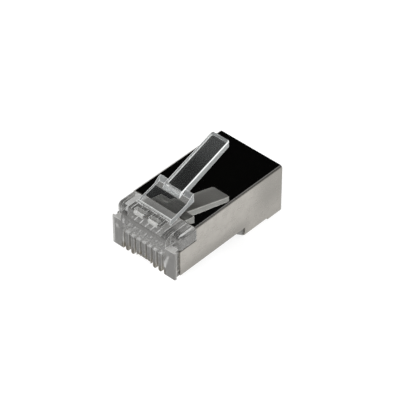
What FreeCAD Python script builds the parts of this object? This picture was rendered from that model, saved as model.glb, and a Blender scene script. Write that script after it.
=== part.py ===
import FreeCAD, Part
import os
import Sketcher

# Shielded 8-position modular plug, in millimetres.
# Each piece is drawn in the nose frame: X across, Y from the nose face back to the cable end,
# Z up from the contact face to the latch side. Its Placement then puts the origin under the middle.

SIZES = [
    ("overrun", 1, "cutting sketches run this far past the faces that they open"),
    # outer envelope
    ("plugWidth", 11.68, "over the shield and the nose lip"),
    ("plugLength", 21.65, "nose face to the shield's rear edge"),
    ("frontHeight", 6.57, "contact face to the bare top of the nose"),
    ("panelRise", 0.1, "shield's top above the bare top of the nose"),
    ("sheet", 0.3, "shield sheet thickness"),
    ("shieldGap", 0.03, "between the shield and the moulding"),
    # nose of the moulding
    ("lipDepth", 0.35, "full-width lip round the nose"),
    ("lipRound", 0.2, "front corners of the lip"),
    ("shelfDepth", 1.03, "shelf on top of each side post"),
    ("shelfHeight", 4.8, "top of the side posts"),
    ("shoulderBack", 4.22, "rear face of the full-width shoulder"),
    ("shoulderRound", 0.75, "top front edge of the shoulder"),
    ("shoulderSideRound", 0.5, "top side edges of the shoulder"),
    ("centreWidth", 8.3, "raised block between the posts"),
    ("centreRound", 1.2, "top front edge of the raised block"),
    ("rearInset", 0.4, "moulding's rear face inside the shield's rear edge"),
    # latch base and hinge
    ("latchWidth", 6.1, "latch plate and latch base"),
    ("hingeBack", 2.45, "hinge axis from the nose face"),
    ("hingeUp", 0.68, "hinge axis above the shield's top"),
    ("knuckleRound", 0.45, "radius of the latch root"),
    ("hingeGap", 0.05, "between the latch root and its seat"),
    ("baseFoot", 0.2, "front of the latch base at its foot"),
    ("baseBrow", 0.35, "front of the latch base at its top"),
    ("baseRound", 0.2, "top front edge of the latch base"),
    ("pocketInner", 0.45, "inner side of each latch base pocket from the centre"),
    ("pocketOuter", 2.15, "outer side of each latch base pocket from the centre"),
    ("pocketFront", 0.62, "front wall of the latch base pockets at its top"),
    ("pocketLean", 0.25, "front wall further back at its foot"),
    ("pocketBack", 1.25, "rear wall of the latch base pockets"),
    ("pocketDepth", 0.85, "latch base pockets"),
    # contacts and their slots
    ("contactPitch", 1.02, "contact spacing"),
    ("bladeThickness", 0.38, "contact blade"),
    ("slotGap", 0.03, "each side of a blade"),
    ("slotRoof", 3.25, "top of the slots at the nose face"),
    ("bladeFront", 0.5, "front edge of the blades from the nose face"),
    ("bladeLength", 4.6, "contact blade"),
    ("bladeRecess", 0.1, "blade edge above the contact face, before crimping"),
    ("bladeHeight", 1.55, "blade edge to the foot of the tines"),
    ("tineHeight", 1.4, "piercing tines"),
    ("tineFoot", 0.8, "each tine at its foot"),
    ("bladeRound", 0.5, "front lower corner of a blade"),
    ("ribRound", 0.27, "lower edges of the ribs between the slots"),
    ("combReliefWidth", 2.6, "shallow relief under the middle ribs"),
    ("combReliefDepth", 0.42, "relief back from the nose face"),
    ("combReliefHeight", 0.6, "relief above the contact face"),
    # wire channels and cable cavity
    ("channelFront", 0.95, "closed ends of the wire channels"),
    ("channelBore", 0.92, "wire channel diameter"),
    ("channelHeight", 3.6, "wire channel axis above the contact face"),
    ("leadBack", 8.6, "rear ends of the wire channels"),
    ("cavityFront", 10.6, "full-height part of the cable cavity"),
    ("cavityWidth", 8.6, "cable cavity"),
    ("roofWall", 0.74, "moulding over the cavity"),
    ("floorWall", 0.82, "moulding under the cavity at the cable end"),
    ("cavityFrontFloor", 1.5, "cavity floor over the strain relief"),
    ("cavityRound", 0.9, "long edges of the cavity"),
    # strain relief bars
    ("windowWidth", 7.8, "openings for the two bars"),
    ("wireWindowFront", 6.3, "opening of the wire bar"),
    ("wireWindowBack", 8.2, "opening of the wire bar"),
    ("wireWindowRoof", 2.7, "opening of the wire bar"),
    ("jacketWindowFront", 9.2, "opening of the jacket bar"),
    ("jacketWindowBack", 12.2, "opening of the jacket bar"),
    ("jacketWindowRoof", 2.3, "opening of the jacket bar, up into the cavity"),
    ("jacketBarTop", 1.8, "top of the jacket bar"),
    ("barGap", 0.3, "round the front and sides of each bar"),
    ("barWeb", 0.3, "thin web that carries each bar"),
    ("webRoot", 0.1, "web sunk into the wall behind it"),
    # stepped underside
    ("stepRun", 1.6, "slope under the moulding, along the plug"),
    ("stepLedge", 0.1, "flat from the slope to the front edge of the bottom flaps"),
    ("stepDrop", 1.3, "shield's rear underside below the contact face"),
    # shield
    ("wingFront", 1.06, "front edge of the side wings"),
    ("wingTop", 4.63, "top edge of the side wings"),
    ("wingBottom", 0.25, "bottom edge of the side walls"),
    ("panelFront", 4.25, "front edge of the top panel"),
    ("flapFront", 14.05, "front edge of the bottom flaps"),
    ("tabLength", 2.65, "lapped rear tab, along the plug"),
    ("reliefSlit", 0.35, "slit between the flap and the rear tab"),
    ("tabDrop", 1.6, "rear tab's outer face below the contact face"),
    ("tabReach", 3.0, "rear tab past the centre"),
    ("seamGap", 0.2, "between the two bottom flaps"),
    ("topBend", 0.45, "outer radius of the long top bends"),
    ("bottomBend", 0.4, "outer radius of the bottom bends"),
    # latch, measured from the hinge axis
    ("rampAlong", 2.95, "foot of the ear ramps"),
    ("rampUp", 1.25, "foot of the ear ramps"),
    ("crestAlong", 4.05, "top of the ears"),
    ("crestUp", 2.15, "top of the ears"),
    ("shoulderAlong", 4.3, "locking faces of the ears"),
    ("shoulderUp", 0.8, "lower end of the locking faces"),
    ("bendAlong", 3.15, "bend under the latch plate"),
    ("bendUp", 0.55, "bend under the latch plate"),
    ("leverWidth", 3.2, "finger lever"),
    ("leverFootAlong", 2.9, "front face of the lever"),
    ("leverFootUp", 1.1, "front face of the lever"),
    ("leverBrowAlong", 3.45, "top of the lever's front face"),
    ("leverBrowUp", 2.05, "top of the lever's front face"),
    ("leverTipAlong", 13.05, "end of the lever"),
    ("leverTipUp", 5.35, "top of the lever's end"),
    ("leverTipThickness", 1.05, "lever at its end"),
    ("leverHeelUp", 0.93, "underside of the lever at the ears"),
    ("leverCorner", 0.35, "corners of the lever's end"),
    ("leverRound", 0.15, "long edges of the lever"),
]

CONTACTS = 8

doc = FreeCAD.newDocument("plug")
dim = doc.addObject("Spreadsheet::Sheet", "dim")
for row, (alias, size, note) in enumerate(SIZES, start=1):
    dim.set(f"A{row}", alias)
    dim.set(f"B{row}", str(size))
    dim.set(f"C{row}", note)
    dim.setAlias(f"B{row}", alias)
doc.recompute()


def value(expression):
    """Number that an expression on the sheet gives."""
    result = dim.evalExpression(expression)
    return float(getattr(result, "Value", result))


def origin_plane(body, role):
    return next(f for f in body.Origin.OriginFeatures if f.Role == role)


def new_body(label, across="0"):
    body = doc.addObject("PartDesign::Body", label)
    body.Label = label
    body.setExpression(".Placement.Base.x", across)
    body.setExpression(".Placement.Base.y", "-dim.plugLength / 2")
    body.setExpression(".Placement.Base.z", "dim.tabDrop")
    return body


def new_sketch(body, name, role, offset="0"):
    sketch = body.newObject("Sketcher::SketchObject", name)
    sketch.AttachmentSupport = [(origin_plane(body, role), "")]
    sketch.MapMode = "FlatFace"
    sketch.setExpression(".AttachmentOffset.Base.z", offset)
    return sketch


def pin(sketch, geometry, point, x, y):
    """Tie a sketch point to two expressions."""
    for kind, expression in (("DistanceX", x), ("DistanceY", y)):
        rule = Sketcher.Constraint(kind, -1, 1, geometry, point, value(expression))
        number = sketch.addConstraint(rule)
        sketch.setExpression(f"Constraints[{number}]", expression)


def outline(body, name, role, corners, offset="0"):
    """Closed polygon whose corners are pairs of expressions."""
    sketch = new_sketch(body, name, role, offset)
    places = [FreeCAD.Vector(value(x), value(y), 0) for x, y in corners]
    count = len(places)
    for i in range(count):
        sketch.addGeometry(Part.LineSegment(places[i], places[(i + 1) % count]), False)
    for i in range(count):
        sketch.addConstraint(Sketcher.Constraint("Coincident", i, 2, (i + 1) % count, 1))
    for i, (x, y) in enumerate(corners):
        pin(sketch, i, 1, x, y)
    return sketch


def rectangle(body, name, role, low, high, offset="0"):
    corners = [(low[0], low[1]), (high[0], low[1]), (high[0], high[1]), (low[0], high[1])]
    return outline(body, name, role, corners, offset)


def circle(body, name, role, centre, radius, offset="0"):
    sketch = new_sketch(body, name, role, offset)
    middle = FreeCAD.Vector(value(centre[0]), value(centre[1]), 0)
    sketch.addGeometry(Part.Circle(middle, FreeCAD.Vector(0, 0, 1), value(radius)), False)
    pin(sketch, 0, 3, *centre)
    number = sketch.addConstraint(Sketcher.Constraint("Radius", 0, value(radius)))
    sketch.setExpression(f"Constraints[{number}]", radius)
    return sketch


def grow(body, kind, sketch, length, midplane=False, flipped=False):
    """Pad or pocket that must change the solid's volume."""
    before = body.Shape.Volume if body.Tip else 0.0
    feature = body.newObject("PartDesign::" + kind, kind + sketch.Name)
    feature.Profile = sketch
    feature.SideType = "Symmetric" if midplane else "One side"
    feature.Reversed = flipped
    feature.setExpression("Length", length)
    doc.recompute()
    if abs(body.Shape.Volume - before) < 1e-4:
        raise RuntimeError(feature.Name + " changes nothing")
    return feature


def across(body, kind, sketch, width):
    """Side profile carried equally to both sides of the middle plane."""
    return grow(body, kind, sketch, width, midplane=True)


def round_edges(body, name, places, radius, along=None):
    """Fillet the edges whose ends share the given coordinates; None matches any.
    With along, an edge whose two ends are level on that axis is left out."""
    base = body.Tip
    wanted = [[None if c is None else value(c) for c in place] for place in places]
    found = []
    for number, edge in enumerate(base.Shape.Edges, start=1):
        ends = [vertex.Point for vertex in edge.Vertexes]
        if along is not None and abs(ends[0][along] - ends[-1][along]) < 1e-4:
            continue
        for place in wanted:
            if len(ends) == 2 and all(
                c is None or abs(end[axis] - c) < 1e-4
                for end in ends
                for axis, c in enumerate(place)
            ):
                found.append(f"Edge{number}")
    if not found:
        raise RuntimeError(name + " finds no edge")
    fillet = body.newObject("PartDesign::Fillet", name)
    fillet.Base = (base, found)
    fillet.setExpression("Radius", radius)
    doc.recompute()
    return fillet


def repeat(body, feature, name):
    """Eight copies of a feature across the plug."""
    pattern = body.newObject("PartDesign::LinearPattern", name)
    pattern.Originals = [feature]
    pattern.Direction = (origin_plane(body, "X_Axis"), [""])
    pattern.Occurrences = CONTACTS
    pattern.setExpression("Length", f"dim.contactPitch * {CONTACTS - 1}")
    body.Tip = pattern
    doc.recompute()
    return pattern


firstContact = f"-dim.contactPitch * {(CONTACTS - 1) / 2}"
blockTop = "dim.frontHeight + dim.hingeUp + dim.knuckleRound"
hingeHeight = "dim.frontHeight + dim.hingeUp"
panelTop = "(dim.frontHeight + dim.panelRise)"
housingRear = "dim.plugLength - dim.rearInset"
stepBack = "(dim.flapFront - dim.stepLedge)"
stepFront = stepBack + " - dim.stepRun"
coreTop = panelTop + " - dim.sheet - dim.shieldGap"
coreBottom = "-dim.stepDrop + dim.sheet + dim.shieldGap"
cavityTop = coreTop + " - dim.roofWall"
cavityFloor = coreBottom + " + dim.floorWall"
coreSide = "(dim.plugWidth / 2 - dim.sheet - dim.shieldGap)"
shoulderMiddle = "(dim.shelfDepth + dim.shoulderBack) / 2"
slotBack = "dim.bladeFront + dim.bladeLength + dim.slotGap"
channelLow = "dim.channelHeight - dim.channelBore / 2"
channelHigh = "dim.channelHeight + dim.channelBore / 2"


def make_housing():
    body = new_body("housing")

    # shoulder: full-width block behind the shelf, under the bare part of the top
    shoulder = rectangle(body, "Shoulder", "YZ_Plane",
                         ("dim.shelfDepth", "dim.wingTop + dim.shieldGap"),
                         ("dim.shoulderBack", "dim.frontHeight"))
    across(body, "Pad", shoulder, "dim.plugWidth")
    half = "dim.plugWidth / 2"
    round_edges(body, "ShoulderFrontRound", [(None, "dim.shelfDepth", "dim.frontHeight")],
                "dim.shoulderRound")
    sides = [(side + half, None, "dim.frontHeight") for side in ("", "-")]
    round_edges(body, "ShoulderSideRound", sides, "dim.shoulderSideRound")

    # raised block between the posts, flush with the nose face
    centre = rectangle(body, "Centre", "YZ_Plane", ("0", "dim.slotRoof"),
                       ("dim.shoulderBack", "dim.frontHeight"))
    across(body, "Pad", centre, "dim.centreWidth")
    round_edges(body, "CentreRound", [(None, "0", "dim.frontHeight")], "dim.centreRound")

    # body that the shield wraps, with the stepped underside
    core = outline(body, "Core", "YZ_Plane", [
        ("0", "0"),
        (stepFront, "0"),
        (stepBack, "-dim.stepDrop"),
        ("dim.flapFront - dim.shieldGap", "-dim.stepDrop"),
        ("dim.flapFront - dim.shieldGap", coreBottom),
        (housingRear, coreBottom),
        (housingRear, coreTop),
        (shoulderMiddle, coreTop),
        (shoulderMiddle, "dim.shelfHeight"),
        ("0", "dim.shelfHeight"),
    ])
    across(body, "Pad", core, "2 * " + coreSide)
    for name, height, bend in (
        ("CoreTopRound", coreTop, "dim.topBend"),
        ("CoreBottomRound", coreBottom, "dim.bottomBend"),
    ):
        edges = [(side + coreSide, None, height) for side in ("", "-")]
        round_edges(body, name, edges, bend + " - dim.sheet - dim.shieldGap")

    lip = rectangle(body, "Lip", "YZ_Plane", ("0", "0"), ("dim.lipDepth", "dim.shelfHeight"))
    across(body, "Pad", lip, "dim.plugWidth")
    corners = [(side + half, "0", None) for side in ("", "-")]
    round_edges(body, "LipRound", corners, "dim.lipRound")

    # latch base with the seat of the latch root and two pockets
    base = outline(body, "LatchBase", "YZ_Plane", [
        ("dim.baseFoot", "dim.frontHeight - dim.centreRound"),
        ("dim.hingeBack", "dim.frontHeight - dim.centreRound"),
        ("dim.hingeBack", blockTop),
        ("dim.baseBrow", blockTop),
    ])
    across(body, "Pad", base, "dim.latchWidth")
    round_edges(body, "BaseRound", [(None, "dim.baseBrow", blockTop)], "dim.baseRound")
    seat = circle(body, "Seat", "YZ_Plane", ("dim.hingeBack", hingeHeight),
                  "dim.knuckleRound + dim.hingeGap")
    across(body, "Pocket", seat, "dim.latchWidth")
    pocketFloor = blockTop + " - dim.pocketDepth"
    for side, name in (("", "PocketRight"), ("-", "PocketLeft")):
        pocket = outline(body, name, "YZ_Plane", [
            ("dim.pocketFront", blockTop),
            ("dim.pocketFront + dim.pocketLean", pocketFloor),
            ("dim.pocketBack", pocketFloor),
            ("dim.pocketBack", blockTop),
        ], side + "(dim.pocketInner + dim.pocketOuter) / 2")
        across(body, "Pocket", pocket, "dim.pocketOuter - dim.pocketInner")

    # cable cavity with its tapered lead to the wire channels
    cavity = outline(body, "Cavity", "YZ_Plane", [
        (housingRear + " + dim.overrun", cavityFloor),
        (housingRear + " + dim.overrun", cavityTop),
        ("dim.cavityFront", cavityTop),
        ("dim.leadBack", channelHigh),
        ("dim.leadBack", channelLow),
        ("dim.cavityFront", "dim.cavityFrontFloor"),
        (stepFront, "dim.cavityFrontFloor"),
        (stepBack, cavityFloor),
    ])
    across(body, "Pocket", cavity, "dim.cavityWidth")
    for name, height in (("RoofRound", cavityTop), ("FloorRound", cavityFloor)):
        edges = [(side + "dim.cavityWidth / 2", None, height) for side in ("", "-")]
        round_edges(body, name, edges, "dim.cavityRound")

    channel = circle(body, "Channel", "XZ_Plane", (firstContact, "dim.channelHeight"),
                     "dim.channelBore / 2", "-dim.channelFront")
    bore = grow(body, "Pocket", channel, "dim.leadBack - dim.channelFront")
    repeat(body, bore, "Channels")

    # contact slots, deeper behind the nose wall so that the tines reach the wires
    slot = outline(body, "Slot", "YZ_Plane", [
        ("-dim.overrun", "-dim.overrun"),
        (slotBack, "-dim.overrun"),
        (slotBack, "dim.channelHeight"),
        ("dim.channelFront + dim.channelBore / 2", "dim.channelHeight"),
        ("dim.channelFront + dim.channelBore / 2", "dim.slotRoof"),
        ("-dim.overrun", "dim.slotRoof"),
    ], firstContact)
    slotHalf = "(dim.bladeThickness / 2 + dim.slotGap)"
    cut = across(body, "Pocket", slot, "2 * " + slotHalf)
    repeat(body, cut, "Slots")
    ribSides = []
    for number in range(CONTACTS):
        middle = f"({firstContact} + {number} * dim.contactPitch)"
        if number:
            ribSides.append((f"{middle} - {slotHalf}", None, "0"))
        if number < CONTACTS - 1:
            ribSides.append((f"{middle} + {slotHalf}", None, "0"))
    round_edges(body, "RibRounds", ribSides, "dim.ribRound")

    relief = rectangle(body, "CombRelief", "YZ_Plane", ("-dim.overrun", "-dim.overrun"),
                       ("dim.combReliefDepth", "dim.combReliefHeight"))
    across(body, "Pocket", relief, "dim.combReliefWidth")

    # openings under the strain relief bars, then the bars on their thin webs
    wireWindow = rectangle(body, "WireWindow", "YZ_Plane", ("dim.wireWindowFront", "-dim.overrun"),
                           ("dim.wireWindowBack", "dim.wireWindowRoof"))
    across(body, "Pocket", wireWindow, "dim.windowWidth")
    jacketWindow = rectangle(body, "JacketWindow", "YZ_Plane", ("dim.jacketWindowFront", "-dim.overrun"),
                             ("dim.jacketWindowBack", "dim.jacketWindowRoof"))
    across(body, "Pocket", jacketWindow, "dim.windowWidth")
    barWidth = "dim.windowWidth - 2 * dim.barGap"
    for name, front, back, roof in (
        ("WireBar", "dim.wireWindowFront", "dim.wireWindowBack", "dim.wireWindowRoof - dim.barGap"),
        ("JacketBar", "dim.jacketWindowFront", "dim.jacketWindowBack", "dim.jacketBarTop"),
    ):
        rear = f"{back} - 2 * dim.barGap"
        middle = f"({roof}) / 2"
        bar = outline(body, name, "YZ_Plane", [
            (f"{front} + dim.barGap", "dim.barGap"),
            (rear, "dim.barGap"),
            (rear, middle),
            (f"{back} + dim.webRoot", middle),
            (f"{back} + dim.webRoot", f"{middle} + dim.barWeb"),
            (rear, f"{middle} + dim.barWeb"),
            (rear, roof),
            (f"{front} + dim.barGap", f"{roof} - dim.barGap"),
        ])
        across(body, "Pad", bar, barWidth)
    return body


def make_latch():
    body = new_body("latch")

    def at(along, up):
        return f"dim.hingeBack + {along}", f"{hingeHeight} + {up}"

    lever = outline(body, "Lever", "YZ_Plane", [
        at("dim.leverFootAlong", "dim.leverFootUp"),
        at("dim.leverBrowAlong", "dim.leverBrowUp"),
        at("dim.leverTipAlong", "dim.leverTipUp"),
        at("dim.leverTipAlong", "dim.leverTipUp - dim.leverTipThickness"),
        at("dim.crestAlong", "dim.leverHeelUp"),
    ])
    across(body, "Pad", lever, "dim.leverWidth")
    tip = "dim.hingeBack + dim.leverTipAlong"
    corners = [(side + "dim.leverWidth / 2", tip, None) for side in ("", "-")]
    round_edges(body, "LeverCorner", corners, "dim.leverCorner")
    sides = [(side + "dim.leverWidth / 2", None, None) for side in ("", "-")]
    round_edges(body, "LeverRound", sides, "dim.leverRound", along=1)

    # plate that rises from the hinge into the two locking ears
    plate = outline(body, "Plate", "YZ_Plane", [
        at("0", "dim.knuckleRound"),
        at("dim.rampAlong", "dim.rampUp"),
        at("dim.crestAlong", "dim.crestUp"),
        at("dim.shoulderAlong", "dim.crestUp"),
        at("dim.shoulderAlong", "dim.shoulderUp"),
        at("dim.bendAlong", "dim.bendUp"),
        at("0", "-dim.knuckleRound"),
    ])
    across(body, "Pad", plate, "dim.latchWidth")
    hub = circle(body, "Knuckle", "YZ_Plane", ("dim.hingeBack", hingeHeight), "dim.knuckleRound")
    across(body, "Pad", hub, "dim.latchWidth")
    return body


def make_contact(number):
    place = f"dim.contactPitch * {number - (CONTACTS + 1) / 2}"
    body = new_body(f"contact_{number}", place)
    foot = "dim.bladeRecess + dim.bladeHeight"
    back = "dim.bladeFront + dim.bladeLength"
    third = "dim.bladeLength / 3"
    corners = [
        ("dim.bladeFront", "dim.bladeRecess"),
        (back, "dim.bladeRecess"),
        (back, foot),
    ]
    for tine in (2, 1, 0):
        middle = f"dim.bladeFront + {tine + 0.5} * {third}"
        corners.append((f"{middle} + dim.tineFoot / 2", foot))
        corners.append((middle, f"{foot} + dim.tineHeight"))
        corners.append((f"{middle} - dim.tineFoot / 2", foot))
    corners.append(("dim.bladeFront", foot))
    blade = outline(body, "Blade", "YZ_Plane", corners)
    across(body, "Pad", blade, "dim.bladeThickness")
    round_edges(body, "BladeRound", [(None, "dim.bladeFront", "dim.bladeRecess")], "dim.bladeRound")
    return body


def make_shield():
    body = new_body("shield")
    wall = "dim.plugWidth / 2"
    inside = "(dim.plugWidth / 2 - dim.sheet)"
    crown = outline(body, "Crown", "XZ_Plane", [
        ("-" + wall, "dim.wingBottom"),
        ("-" + wall, panelTop),
        (wall, panelTop),
        (wall, "dim.wingBottom"),
        (inside, "dim.wingBottom"),
        (inside, panelTop + " - dim.sheet"),
        ("-" + inside, panelTop + " - dim.sheet"),
        ("-" + inside, "dim.wingBottom"),
    ], "-dim.wingFront")
    grow(body, "Pad", crown, "dim.plugLength - dim.wingFront", flipped=True)
    for side in ("", "-"):
        tag = "Right" if side == "" else "Left"
        round_edges(body, "OuterBend" + tag, [(side + wall, None, panelTop)], "dim.topBend")
        round_edges(body, "InnerBend" + tag, [(side + inside, None, panelTop + " - dim.sheet")],
                    "dim.topBend - dim.sheet")

    # top panel stops behind the shoulder and leaves the wings beside the nose
    notch = rectangle(body, "Notch", "YZ_Plane", ("0", "dim.wingTop"),
                      ("dim.panelFront", panelTop + " + dim.overrun"))
    across(body, "Pocket", notch, "dim.plugWidth + dim.overrun")

    # right wall runs down to the bends of the flap and the tab, past the slit between them
    rightWall = rectangle(body, "RightWall", "XZ_Plane", (inside, "-dim.stepDrop + dim.bottomBend"),
                          (wall, "dim.wingBottom + dim.sheet"), "-dim.flapFront")
    grow(body, "Pad", rightWall, "dim.plugLength - dim.flapFront", flipped=True)

    # bottom flaps: L sections that carry the walls down and under
    def flap(name, side, reach, drop, front, length):
        sketch = outline(body, name, "XZ_Plane", [
            (side + wall, "dim.wingBottom + dim.sheet"),
            (side + wall, f"-{drop}"),
            (reach, f"-{drop}"),
            (reach, f"-{drop} + dim.sheet"),
            (side + inside, f"-{drop} + dim.sheet"),
            (side + inside, "dim.wingBottom + dim.sheet"),
        ], f"-{front}")
        grow(body, "Pad", sketch, length, flipped=True)
        round_edges(body, name + "Outer", [(side + wall, None, f"-{drop}")], "dim.bottomBend")
        round_edges(body, name + "Inner", [(side + inside, None, f"-{drop} + dim.sheet")],
                    "dim.bottomBend - dim.sheet")

    flap("LeftFlap", "-", "-dim.seamGap / 2", "dim.stepDrop", "dim.flapFront",
         "dim.plugLength - dim.flapFront")
    flap("RightFlap", "", "dim.seamGap / 2", "dim.stepDrop", "dim.flapFront",
         "dim.plugLength - dim.tabLength - dim.reliefSlit - dim.flapFront")
    flap("RearTab", "", "-dim.tabReach", "dim.tabDrop", "(dim.plugLength - dim.tabLength)",
         "dim.tabLength")
    return body


pieces = [make_housing(), make_latch(), make_shield()]
pieces += [make_contact(number) for number in range(1, CONTACTS + 1)]
doc.recompute()

for item in doc.Objects:
    if "Invalid" in item.State or "Error" in item.State:
        raise RuntimeError(f"{item.Label} failed: {item.State}")
for piece in pieces:
    if piece.Shape.isNull() or not piece.Shape.isValid() or len(piece.Shape.Solids) != 1:
        raise RuntimeError(piece.Label + " is not one valid solid")

os.makedirs("parts", exist_ok=True)
for piece in pieces:
    piece.Shape.exportStep(f"parts/{piece.Label}.step")
    box = piece.Shape.BoundBox
    print(f"{piece.Label:10s} {piece.Shape.Volume:8.2f} mm3  X {box.XMin:.2f} {box.XMax:.2f}  "
          f"Y {box.YMin:.2f} {box.YMax:.2f}  Z {box.ZMin:.2f} {box.ZMax:.2f}")
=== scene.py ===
import math

import bpy
import numpy as np
from mathutils import Matrix, Vector


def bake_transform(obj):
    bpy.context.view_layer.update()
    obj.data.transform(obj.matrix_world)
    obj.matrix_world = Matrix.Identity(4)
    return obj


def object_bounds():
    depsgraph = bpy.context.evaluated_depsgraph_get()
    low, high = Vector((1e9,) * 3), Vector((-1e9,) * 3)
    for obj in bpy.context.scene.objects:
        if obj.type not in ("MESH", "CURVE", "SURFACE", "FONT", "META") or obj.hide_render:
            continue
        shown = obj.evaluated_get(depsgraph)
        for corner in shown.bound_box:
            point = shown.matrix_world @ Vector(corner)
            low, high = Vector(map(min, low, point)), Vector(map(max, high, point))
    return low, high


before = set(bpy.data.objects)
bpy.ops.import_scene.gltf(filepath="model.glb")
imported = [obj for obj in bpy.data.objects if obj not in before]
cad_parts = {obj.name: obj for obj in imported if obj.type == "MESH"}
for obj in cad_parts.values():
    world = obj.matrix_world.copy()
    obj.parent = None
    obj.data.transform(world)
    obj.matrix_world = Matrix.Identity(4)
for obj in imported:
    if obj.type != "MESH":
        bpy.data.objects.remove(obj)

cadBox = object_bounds()
mm = 0.001
white = (1, 1, 1, 1)
print("frame loaded:", len(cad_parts), "nodes")

# camera: long lens from the front right, 41 degrees up, framed as the picture
cameraView = {
    "azimuth": 42.837,          # degrees, 0 looks along +Y
    "elevation": 41.330,
    "roll": -0.101,
    "lens": 179.257,            # mm on a 36 mm sensor
    "sensor": 36,
    "distance": 272.59,         # mm from the aim point
    "aim": (0, -0.325, 5.6),    # mm, inside the plug
    "sideStep": 0.506,          # mm to the right, so that the plug sits left of centre
    "upStep": 0.106,
    "clip": (0.01, 20),         # m
}


def placeCamera(view):
    a, e, r = (math.radians(view[k]) for k in ("azimuth", "elevation", "roll"))
    back = Vector((math.sin(a) * math.cos(e), -math.cos(a) * math.cos(e), math.sin(e)))
    level = Vector((math.cos(a), math.sin(a), 0))
    top = back.cross(level)
    right = level * math.cos(r) + top * math.sin(r)
    up = top * math.cos(r) - level * math.sin(r)
    data = bpy.data.cameras.new("pictureCamera")
    data.lens = view["lens"]
    data.sensor_width = view["sensor"]
    data.clip_start, data.clip_end = view["clip"]
    camera = bpy.data.objects.new("pictureCamera", data)
    bpy.context.scene.collection.objects.link(camera)
    place = Vector(view["aim"]) + back * view["distance"]
    place += right * view["sideStep"] + up * view["upStep"]
    turn = Matrix((right, up, back)).transposed().to_4x4()
    camera.matrix_world = Matrix.Translation(place * mm) @ turn
    bpy.context.scene.camera = camera


placeCamera(cameraView)
print("camera placed")


# shader maths: an operator on a wrapped socket adds its Math node
class Link:
    def __init__(self, shader, socket):
        self.shader = shader
        self.socket = socket

    def join(self, operation, *values):
        return self.shader.node("Math", {"operation": operation}, *values)

    def __add__(self, other):
        return self.join("ADD", self, other)

    def __sub__(self, other):
        return self.join("SUBTRACT", self, other)

    def __rsub__(self, other):
        return self.join("SUBTRACT", other, self)

    def __mul__(self, other):
        return self.join("MULTIPLY", self, other)

    def __truediv__(self, other):
        return self.join("DIVIDE", self, other)

    def __pow__(self, other):
        return self.join("POWER", self, other)

    def __gt__(self, other):
        return self.join("GREATER_THAN", self, other)

    __radd__ = __add__
    __rmul__ = __mul__

    # 1 up to the limit, 0 past it
    def upTo(self, limit):
        return 1 - (self > limit)

    def larger(self, other):
        return self.join("MAXIMUM", self, other)

    # without its sign
    def size(self):
        return self.join("ABSOLUTE", self)

    def clamped(self):
        return self.join("MINIMUM", self.larger(0), 1)

    # 0 below low, 1 above high, smooth between
    def step(self, low, high):
        t = ((self - low) / (high - low)).clamped()
        return t * t * (3 - 2 * t)


class Shader:
    def __init__(self, tree):
        self.tree = tree
        tree.nodes.clear()

    # any node: its type, its settings, then its inputs in order or by name; "out" picks the output
    def node(self, kind, settings=None, *values, out=0, **named):
        made = self.tree.nodes.new("ShaderNode" + kind)
        for key, setting in (settings or {}).items():
            setattr(made, key, setting)
        for key, given in list(enumerate(values)) + list(named.items()):
            slot = made.inputs[key.replace("_", " ") if isinstance(key, str) else key]
            if isinstance(given, Link):
                self.tree.links.new(given.socket, slot)
            else:
                slot.default_value = given
        return Link(self, made.outputs[out])

    # a vector's numbers along the named axes
    def split(self, vector, axes="XYZ"):
        return [self.node("SeparateXYZ", None, vector, out=axis) for axis in axes]

    def blendColours(self, factor, first, second):
        made = self.tree.nodes.new("ShaderNodeMix")
        made.data_type = "RGBA"
        for slot, given in ((0, factor), (6, first), (7, second)):
            if isinstance(given, Link):
                self.tree.links.new(given.socket, made.inputs[slot])
            else:
                made.inputs[slot].default_value = given if slot == 0 else (*given, 1)
        return Link(self, made.outputs[2])

    def finishSurface(self, surface, target="OutputMaterial"):
        end = self.tree.nodes.new("ShaderNode" + target)
        self.tree.links.new(surface.socket, end.inputs["Surface"])


def newMaterial(name):
    material = bpy.data.materials.new(name)
    material.use_nodes = True
    return material, Shader(material.node_tree)


# where a point is on the object, in millimetres
def objectPlace(shader):
    place = shader.node("TexCoord", None, out="Object")
    return shader.node("VectorMath", {"operation": "MULTIPLY"}, place, (1 / mm, 1 / mm, 1 / mm))


# a pattern is its scale per mm, its detail and its roughness
def noise(shader, place, pattern):
    scale, detail, roughness = pattern
    return shader.node("TexNoise", None, Vector=place, Scale=scale, Detail=detail,
                       Roughness=roughness, out="Fac")


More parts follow.
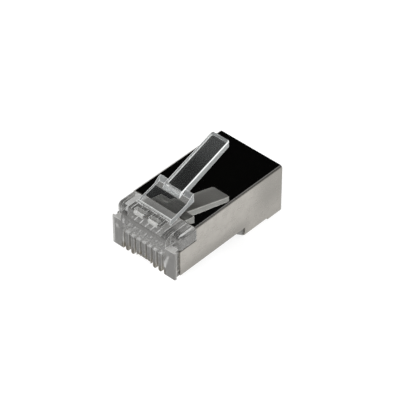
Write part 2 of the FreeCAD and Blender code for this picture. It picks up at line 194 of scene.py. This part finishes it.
# clear polycarbonate: a glassy skin over a little grey haze, with painted highlights along the edges
plasticLook = {
    "tint": (0.68, 0.685, 0.68),
    "ior": 1.585,
    "roughness": 0.02,
    "flow": (0.55, 3.0, 0.5),   # slow waves left by the mould
    "flowHeight": 0.03,
    "flowDepth": 0.0002,        # m
    "scuff": (1.2, 3.0, 0.5),
    "scuffStep": (0.5, 0.8),
    "scuffRoughness": 0.05,
    "hazeColour": (0.275, 0.271, 0.262),
    # painted warm tint for the gold seen through the rib ends
    "goldShowColour": (0.21, 0.188, 0.152),
    "cloud": (0.8, 4.0, 0.5),
    "cloudShare": (0.75, 0.5),  # of the haze: everywhere, and added by the cloud
    "rimHaze": 0.55,            # more where the surface turns away
    "rimPower": 3,
    "levelStep": (0.35, 0.9),   # how far up or down a face looks: from, full
    "topHaze": 0.14,
    "rearHaze": 0.28,           # added on top, behind the latch base
    "rearPlace": (-8.9, -8.0),  # mm along the plug, where that haze starts and is full
    "sideHaze": 0.44,
    "cornerHaze": 0.5,          # on the rounded upright corners
    "cornerGain": 5,
    "innerShare": 0.0,          # of the haze, where light leaves the plastic
    "underHaze": 0.0,           # added on faces that look down
    # painted edge highlight: its colour, rounding radius, samples, step and share
    "edgeHighlightColour": (0.88, 0.89, 0.88),
    "edgeRadius": 0.10,         # mm
    "edgeSamples": 6,
    "edgeStep": (0.02, 0.2),
    "edgeHighlightShare": 0.3,
    "longEdgeHighlightShare": 0.0,       # painted highlight on rounded edges that run along the plug
    "longEdgeGain": 3,
    "glintColour": (1.0, 1.0, 0.99),    # painted glint: light let through the white pocket walls
    "shadowTint": (0.78, 0.78, 0.78),
}
latchLook = {
    **plasticLook,
    "tint": (0.86, 0.865, 0.86),
    "roughness": 0.0,
    "scuffRoughness": 0.03,
    "hazeColour": (0.35, 0.362, 0.362),
    "topHaze": 0.017,
    "rearHaze": 0.033,
    "rearPlace": (-1.5, 3.5),
    "sideHaze": 0.50,
    "cornerHaze": 0.0,
    "innerShare": 1.0,
    "underHaze": 0.5,
    # stronger painted edge highlight on the latch
    "edgeHighlightColour": (0.95, 0.96, 0.955),
    "edgeRadius": 0.13,
    "edgeHighlightShare": 0.85,
    "longEdgeHighlightShare": 0.55,
    "shadowTint": (0.93, 0.93, 0.93),
}


# marks, if given, place extra haze, a warm haze painted for the gold seen through the ribs, and pocket walls
# painted white as glint on the moulding
def clearPlastic(name, look, marks=None):
    material, shader = newMaterial(name)
    place = objectPlace(shader)
    flow = noise(shader, place, look["flow"])
    scuff = noise(shader, place, look["scuff"]).step(*look["scuffStep"])
    rough = look["roughness"] + scuff * look["scuffRoughness"]
    bump = shader.node("Bump", None, Strength=look["flowHeight"], Distance=look["flowDepth"], Height=flow)
    glass = shader.node("BsdfPrincipled", None, Base_Color=(*look["tint"], 1), Roughness=rough,
                        IOR=look["ior"], Normal=bump, Transmission_Weight=1.0)

    # more haze where a face looks sideways, cloudy, and only where light enters
    normal = shader.node("NewGeometry", None, out="Normal")
    inside = shader.node("NewGeometry", None, out="Backfacing")
    sideways, endways, facingUp = shader.split(normal)
    upward = facingUp.size().step(*look["levelStep"])
    downward = (0 - facingUp).step(*look["levelStep"])
    along, = shader.split(place, "Y")
    rear = along.step(*look["rearPlace"]) * look["rearHaze"]
    share = look["sideHaze"] + upward * (look["topHaze"] - look["sideHaze"] + rear)
    everywhere, clouded = look["cloudShare"]
    share = share * (everywhere + noise(shader, place, look["cloud"]) * clouded)
    rim = shader.node("LayerWeight", None, Blend=0.5, out="Facing")
    share = share + rim ** look["rimPower"] * look["rimHaze"] + downward * look["underHaze"]
    placed = ((sideways * endways).size() * look["cornerGain"]).clamped() * look["cornerHaze"]
    if marks:
        placed = placed.larger(marks["hazy"](shader, place, upward, sideways))
    share = share.larger(placed).clamped() * (1 - inside * (1 - look["innerShare"]))
    haze = shader.node("BsdfDiffuse", None, Color=(*look["hazeColour"], 1))
    if marks:
        # painted warm tint for the gold seen through the rib ends
        goldShow = shader.node("BsdfDiffuse", None, Color=(*look["goldShowColour"], 1))
        haze = shader.node("MixShader", None, marks["goldShow"](shader, place), haze, goldShow)

    # painted edge highlight: where the rounded normal turns away from the face's own
    turned = shader.node("Bevel", {"samples": look["edgeSamples"]}, Radius=look["edgeRadius"] * mm)
    facing = shader.node("VectorMath", {"operation": "DOT_PRODUCT"}, turned, normal, out="Value")
    edge = (1 - facing).step(*look["edgeStep"]) * look["edgeHighlightShare"]
    longEdge = ((sideways * facingUp).size() * look["longEdgeGain"]).clamped() * look["longEdgeHighlightShare"]
    edge = edge.larger(longEdge)
    paintedHighlight = shader.node("BsdfDiffuse", None, Color=(*look["edgeHighlightColour"], 1))
    if marks:
        # painted glint on the pocket walls joins the edge highlight
        edge = edge.larger(marks["glint"](shader, place))
        through = shader.node("BsdfTranslucent", None, Color=(*look["glintColour"], 1))
        paintedHighlight = shader.node("AddShader", None, paintedHighlight, through)
    body = shader.node("MixShader", None, share, glass, haze)
    body = shader.node("MixShader", None, edge, body, paintedHighlight)
    isShadow = shader.node("LightPath", None, out="Is Shadow Ray")
    clear = shader.node("BsdfTransparent", None, Color=(*look["shadowTint"], 1))
    shader.finishSurface(shader.node("MixShader", None, isShadow, body, clear))
    return material


# painted glint: white front walls of the two latch base pockets, found by where they are and which way they
# look
glintWall = {
    "above": 8.05,              # mm
    "along": (-10.3, -9.8),
    "facing": 0.7,              # least share of the normal that looks along the plug
    "share": 0.9,
}


def pocketGlint(shader, place):
    look = glintWall
    along, up = shader.split(place, "YZ")
    endways, = shader.split(shader.node("TexCoord", None, out="Normal"), "Y")
    after, before = look["along"]
    inside = (along > after) * along.upTo(before)
    return inside * (endways.size() > look["facing"]) * (up > look["above"]) * look["share"]


# hazier than the rest, found by where they are: the top and front of the side posts,
# the moulding's top under the latch plate, and the walls of the contact slots
hazyPlaces = {
    "postHeight": (6.3, 6.5),   # mm
    "postTop": 0.8,             # shares of haze
    "postFront": 0.62,
    "postBeside": 4.15,
    "postBefore": -10.0,
    "underLatch": 0.75,
    "latchBeside": 3.05,
    "latchBehind": -8.45,
    "slotWall": 0.8,
    "slotFacing": 0.9,          # least share of the normal that looks sideways
    "slotBeside": 4.0,
    "slotBelow": 5.3,
}


def placedHaze(shader, place, upward, sideways):
    look = hazyPlaces
    out, along, up = shader.split(place)
    out = out.size()
    low, high = look["postHeight"]
    top = (up > low) * up.upTo(high) * upward * look["postTop"]
    front = (out > look["postBeside"]) * along.upTo(look["postBefore"]) * look["postFront"]
    under = out.upTo(look["latchBeside"]) * (along > look["latchBehind"]) * upward * look["underLatch"]
    slot = (sideways.size() > look["slotFacing"]) * out.upTo(look["slotBeside"])
    slot = slot * up.upTo(look["slotBelow"]) * look["slotWall"]
    return top.larger(front).larger(under).larger(slot)


# lower ends of the comb's ribs: a painted warm tint standing in for the gold of the blades seen through them
goldShowRibs = {"height": (2.2, 3.0), "before": -9.5, "halfWidth": 4.1}     # mm


def ribGoldShow(shader, place):
    look = goldShowRibs
    out, along, up = shader.split(place)
    low = 1 - up.step(*look["height"])
    return low * along.upTo(look["before"]) * out.size().upTo(look["halfWidth"])


# nickel on folded sheet: mirror top, satin mottled sides
nickelLook = {
    "bright": (0.418, 0.399, 0.368),
    "dull": (0.37, 0.353, 0.325),
    "mottle": (0.9, 5.0, 0.62),
    "patchStep": (0.35, 0.68),
    "shade": (0.285, 0.273, 0.251),
    "footShare": 0.81,
    "footFade": (2.2, 4.4),     # mm above the table, where the shade ends
    "footEnd": (2.0, 5.5),      # mm along the plug, where the foot gets lighter again
    "rearFade": (3.4, 8.0),     # mm along the plug, where the shade starts again
    "rearLow": 0.3,             # share of the rear shade down at the table
    "rearRise": (1.5, 5.0),     # mm above the table, where it grows to the whole
    # painted shadow line in the gap where the shield's front upper edge meets the moulding
    "seamShadow": (0.07, 0.065, 0.06),
    "seamShadowHeight": (5.96, 6.08),     # mm: from, full
    "seamShadowBefore": -6.6,
    # painted highlight along the bend from the top to the side
    "bendHighlight": (0.95, 0.93, 0.90),
    "bendHighlightFacing": (0.885, 0.915, 0.96, 0.98),   # upward facing: from, full, until, gone
    "topFacing": (0.985, 0.999),
    "mirror": (0.80, 0.78, 0.74),
    "mirrorRoughness": 0.035,
    "satinRoughness": 0.30,
    "satinSpread": 0.08,
    "grain": (9.0, 3.0, 0.5),
    "mottleShare": 0.7,         # of the bump, and the rest is grain
    "bumpStrength": 0.12,
    "bumpDepth": 0.0001,        # m
    "lean": (-0.02, 0.035, 0),      # slope of the panel across and along the plug, from its slight bow
}


def nickelSheet(look):
    material, shader = newMaterial("nickelSheet")
    place = objectPlace(shader)
    along, up = shader.split(place, "YZ")
    facingUp, = shader.split(shader.node("TexCoord", None, out="Normal"), "Z")
    upward = facingUp.step(*look["topFacing"])
    mottle = noise(shader, place, look["mottle"])
    grain = noise(shader, place, look["grain"])
    patch = mottle.step(*look["patchStep"])

    # colour: mottled, painted shade at the foot and the rear, a painted shadow line at the front seam, a
    # painted highlight on the bend, then the mirror on top
    colour = shader.blendColours(patch, look["dull"], look["bright"])
    foot = (1 - up.step(*look["footFade"])) * (1 - along.step(*look["footEnd"])) * look["footShare"]
    rear = look["rearLow"] + (1 - look["rearLow"]) * up.step(*look["rearRise"])
    colour = shader.blendColours(foot.larger(along.step(*look["rearFade"]) * rear), colour, look["shade"])
    # painted shadow line in the gap at the shield's front upper edge
    seamShadow = up.step(*look["seamShadowHeight"]) * along.upTo(look["seamShadowBefore"])
    colour = shader.blendColours(seamShadow, colour, look["seamShadow"])
    # painted highlight along the bend
    start, full, until, gone = look["bendHighlightFacing"]
    bendHighlight = facingUp.step(start, full) * (1 - facingUp.step(until, gone))
    colour = shader.blendColours(bendHighlight, colour, look["bendHighlight"])
    colour = shader.blendColours(upward, colour, look["mirror"])

    satin = look["satinRoughness"] + (patch - 0.5) * look["satinSpread"]
    rough = satin + upward * (look["mirrorRoughness"] - satin)
    height = (mottle * look["mottleShare"] + grain * (1 - look["mottleShare"])) * (1 - upward)
    bump = shader.node("Bump", None, Strength=look["bumpStrength"], Distance=look["bumpDepth"], Height=height)
    rise = shader.node("VectorMath", {"operation": "DOT_PRODUCT"}, place, look["lean"], out="Value")
    bump = shader.node("Bump", None, Strength=1.0, Distance=mm, Height=rise, Normal=bump)
    surface = shader.node("BsdfPrincipled", None, Base_Color=colour, Metallic=1.0, Roughness=rough,
                          Normal=bump)
    shader.finishSurface(surface)
    return material


# thin gold on the contact blades
goldLook = {
    "gold": (0.72, 0.64, 0.50),
    "worn": (0.60, 0.55, 0.46),
    "wear": (3.0, 5.0, 0.5),
    "wearStep": (0.45, 0.7),
    "wearRoughness": 0.15,
    "roughness": 0.22,
    "lines": (14.0, 2.0, 0.5),
    "lineStrength": 0.1,
    "lineDepth": 0.00005,       # m
}


def goldPlate(look):
    material, shader = newMaterial("goldPlate")
    place = objectPlace(shader)
    wear = noise(shader, place, look["wear"]).step(*look["wearStep"])
    colour = shader.blendColours(wear, look["gold"], look["worn"])
    lines = noise(shader, place, look["lines"])
    bump = shader.node("Bump", None, Strength=look["lineStrength"], Distance=look["lineDepth"], Height=lines)
    surface = shader.node("BsdfPrincipled", None, Base_Color=colour, Metallic=1.0,
                          Roughness=look["roughness"] + wear * look["wearRoughness"], Normal=bump)
    shader.finishSurface(surface)
    return material


def dress(nodeName, material):
    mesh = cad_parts[nodeName].data
    mesh.materials.clear()
    mesh.materials.append(material)


housingMarks = {"glint": pocketGlint, "hazy": placedHaze, "goldShow": ribGoldShow}
gold = goldPlate(goldLook)
finishes = {
    "housing": clearPlastic("housingPlastic", plasticLook, housingMarks),
    "latch": clearPlastic("latchPlastic", latchLook),
    "shield": nickelSheet(nickelLook),
}
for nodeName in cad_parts:
    dress(nodeName, finishes.get(nodeName, gold))    # every other node is a contact blade
print("materials made")


# living hinge: a web over the gap between the latch base and the latch root, pale as a painted highlight
# along the hinge line.
# Its section is a flat ellipse: across the gap by the cosine of the angle, up and down by its sine.
hingeWeb = {
    "front": 2.33,              # mm from the nose face
    "back": 2.46,
    "middle": 9.29,             # mm above the table
    "thickness": 0.05,
    "halfWidth": 3.03,
    "steps": (24, 12),          # across the plug, round the section
}


def makeHingeWeb(web):
    across, around = web["steps"]
    noseFace = cadBox[0][1] / mm
    angle = np.linspace(0, 2 * math.pi, around, endpoint=False)
    side = np.linspace(-1, 1, across) * web["halfWidth"]
    half = (web["back"] - web["front"]) / 2
    x, a = np.meshgrid(side, angle, indexing="ij")
    y = noseFace + web["front"] + half + half * np.cos(a)
    z = web["middle"] + web["thickness"] * np.sin(a) / 2
    points = np.stack([x, y, z], axis=-1).reshape(-1, 3) * mm
    i, j = np.meshgrid(np.arange(across - 1), np.arange(around), indexing="ij")
    k = (j + 1) % around
    here, there = i * around, (i + 1) * around
    faces = np.stack([here + j, there + j, there + k, here + k], axis=-1).reshape(-1, 4)
    ends = [list(range(around)), list(range((across - 1) * around, across * around))[::-1]]
    mesh = bpy.data.meshes.new("hingeWeb")
    mesh.from_pydata(points.tolist(), [], faces.tolist() + ends)
    mesh.polygons.foreach_set("use_smooth", np.ones(len(mesh.polygons), bool))
    made = bpy.data.objects.new("hingeWeb", mesh)
    bpy.context.scene.collection.objects.link(made)
    return made


# pale colour of the hinge web: a painted highlight along the hinge line, streaked
paintedHighlightLook = {
    "pale": (0.60, 0.61, 0.60),
    "clear": (0.48, 0.49, 0.49),
    "streak": (2.2, 4.0, 0.5),
    "streakStep": (0.35, 0.65),
    "streakStrength": 0.2,
    "streakDepth": 0.00005,     # m
    "roughness": 0.35,
}


def paintedHighlightPlastic(look):
    material, shader = newMaterial("paintedHighlightPlastic")
    streak = noise(shader, objectPlace(shader), look["streak"]).step(*look["streakStep"])
    colour = shader.blendColours(streak, look["pale"], look["clear"])
    bump = shader.node("Bump", None, Strength=look["streakStrength"], Distance=look["streakDepth"],
                       Height=streak)
    surface = shader.node("BsdfPrincipled", None, Base_Color=colour, Roughness=look["roughness"],
                          Normal=bump)
    shader.finishSurface(surface)
    return material


web = makeHingeWeb(hingeWeb)
web.data.materials.append(paintedHighlightPlastic(paintedHighlightLook))
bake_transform(web)
print("hinge web made")


# stage: white floor, pale room, and a grey ceiling with a dark card that only mirrors and glass see
stageLook = {
    "floorHalf": 1.2,           # m
    "floorColour": (0.35, 0.35, 0.348),
    "floorGlow": 0.72,
    "skyDiffuse": 0.55,
    "ceilingStart": 0.05,       # sine of the elevation where the grey ceiling starts
    "ceilingFull": 0.40,
    "ceilingGlow": 0.22,
    "darkCard": (-0.53, 0.30, 0.79),    # between what the shield's top and the lever's top mirror
    "darkStart": 0.85,          # cosine of the angle from that direction
    "darkFull": 0.93,
    "cardGlow": 0.002,
}


# rays that mirrors and glass send out
def isMirrored(shader):
    isGlossy = shader.node("LightPath", None, out="Is Glossy Ray")
    return isGlossy.larger(shader.node("LightPath", None, out="Is Transmission Ray"))


def makeFloor(look):
    half = look["floorHalf"]
    mesh = bpy.data.meshes.new("floor")
    corners = [(-half, -half, 0), (half, -half, 0), (half, half, 0), (-half, half, 0)]
    mesh.from_pydata(corners, [], [(0, 1, 2, 3)])
    floor = bpy.data.objects.new("floor", mesh)
    bpy.context.scene.collection.objects.link(floor)
    material, shader = newMaterial("palePaper")
    diffuse = shader.node("BsdfDiffuse", None, Color=(*look["floorColour"], 1))
    seen = shader.node("LightPath", None, out="Is Camera Ray").larger(isMirrored(shader))
    glow = shader.node("Emission", None, Color=white, Strength=seen * look["floorGlow"])
    shader.finishSurface(shader.node("AddShader", None, diffuse, glow))
    mesh.materials.append(material)


def makeSky(look):
    world = bpy.data.worlds.new("paleRoom")
    world.use_nodes = True
    bpy.context.scene.world = world
    shader = Shader(world.node_tree)
    direction = shader.node("TexCoord", None, out="Generated")
    height, = shader.split(direction, "Z")
    ceiling = height.step(look["ceilingStart"], look["ceilingFull"])
    room = 1 - ceiling * (1 - look["ceilingGlow"])
    card = shader.node("VectorMath", {"operation": "DOT_PRODUCT"}, direction, look["darkCard"], out="Value")
    room = room * (1 - card.step(look["darkStart"], look["darkFull"])) + look["cardGlow"]
    isCamera = shader.node("LightPath", None, out="Is Camera Ray")
    mirrored = isMirrored(shader)
    unseen = mirrored * room + (1 - mirrored) * look["skyDiffuse"]
    strength = isCamera + (1 - isCamera) * unseen
    surface = shader.node("Background", None, Color=white, Strength=strength)
    shader.finishSurface(surface, "OutputWorld")


# softboxes: place in m, size in m, power in W
softboxes = {
    "keyBox": {"place": (-0.25, -0.35, 0.45), "size": 0.30, "power": 3.0},
    "sideBox": {"place": (0.45, -0.10, 0.25), "size": 0.25, "power": 2.6},
}


def makeSoftbox(name, box):
    light = bpy.data.lights.new(name, "AREA")
    light.size = box["size"]
    light.energy = box["power"]
    lamp = bpy.data.objects.new(name, light)
    bpy.context.scene.collection.objects.link(lamp)
    lamp.location = box["place"]
    lamp.visible_transmission = False    # no image of a lamp inside the plastic
    lamp.visible_glossy = False
    lamp.rotation_euler = (-Vector(box["place"])).to_track_quat("-Z", "Y").to_euler()


makeFloor(stageLook)
makeSky(stageLook)
for name, box in softboxes.items():
    makeSoftbox(name, box)
bpy.context.scene.view_settings.view_transform = "Standard"
print("stage lit")
